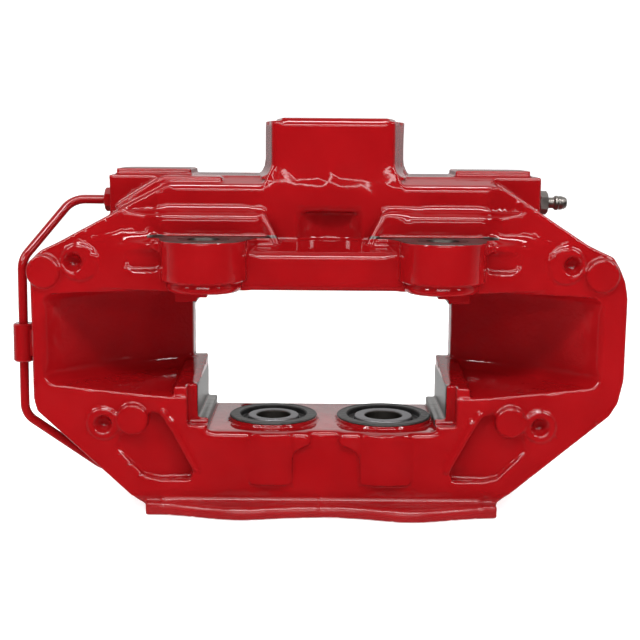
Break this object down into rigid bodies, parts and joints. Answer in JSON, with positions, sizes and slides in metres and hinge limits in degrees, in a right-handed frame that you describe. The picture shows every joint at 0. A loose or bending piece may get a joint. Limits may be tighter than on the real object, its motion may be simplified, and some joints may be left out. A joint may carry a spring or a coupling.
{
  "type": "brake caliper",
  "caption": "Fixed disc brake caliper with opposed pistons, dust boots, a crossover pipe, a bleed screw and lugs with threaded inserts for bolting to a knuckle.",
  "frame": {"origin": "midway between the two lug holes, on the machined faces of the ears", "axes": "+Z along the disc's axis towards the vehicle, which is up as the caliper is pictured; +X along the caliper's length towards the bleed screw; +Y away from the disc's axis"},
  "size_m": [0.3218, 0.107, 0.209],
  "materials": {
    "red_paint": "gloss",
    "clip_paint": "gloss",
    "pipe_paint": "gloss",
    "nut_paint": "gloss",
    "zinc_steel": "satin",
    "dark_steel": "satin",
    "piston_steel": "satin",
    "seal_rubber": "matte",
    "boot_rubber": "matte"
  },
  "bodies": {
    "casting": {"caliper_body": "red_paint", "lug_insert_left": "dark_steel", "lug_insert_right": "dark_steel", "crossover_pipe": "pipe_paint", "pipe_clip": "clip_paint", "pipe_nut_inboard": "nut_paint", "pipe_nut_outboard": "nut_paint", "outboard_small_seal": "seal_rubber", "outboard_small_boot": "boot_rubber", "outboard_large_seal": "seal_rubber", "outboard_large_boot": "boot_rubber", "inboard_small_seal": "seal_rubber", "inboard_small_boot": "boot_rubber", "inboard_large_seal": "seal_rubber", "inboard_large_boot": "boot_rubber"},
    "outboard_small_piston": {"outboard_small_piston": "piston_steel"},
    "outboard_large_piston": {"outboard_large_piston": "piston_steel"},
    "inboard_small_piston": {"inboard_small_piston": "piston_steel"},
    "inboard_large_piston": {"inboard_large_piston": "piston_steel"},
    "bleed_screw": {"bleed_screw": "zinc_steel"}
  },
  "joints": [
    {"name": "outboard_small_slide", "type": "slide", "parent": "casting", "child": "outboard_small_piston", "axis": [0, 0, 1], "range_m": [0, 0.01], "deforming": ["outboard_small_boot"]},
    {"name": "outboard_large_slide", "type": "slide", "parent": "casting", "child": "outboard_large_piston", "axis": [0, 0, 1], "range_m": [0, 0.01], "deforming": ["outboard_large_boot"]},
    {"name": "inboard_small_slide", "type": "slide", "parent": "casting", "child": "inboard_small_piston", "axis": [0, 0, -1], "range_m": [0, 0.01], "deforming": ["inboard_small_boot"]},
    {"name": "inboard_large_slide", "type": "slide", "parent": "casting", "child": "inboard_large_piston", "axis": [0, 0, -1], "range_m": [0, 0.01], "deforming": ["inboard_large_boot"]},
    {"name": "bleed_screw_turn", "type": "hinge", "parent": "casting", "child": "bleed_screw", "pos_m": [0.115, 0.043, 0.0172], "axis": [-1, 0, 0], "range_deg": [0, 180]}
  ]
}
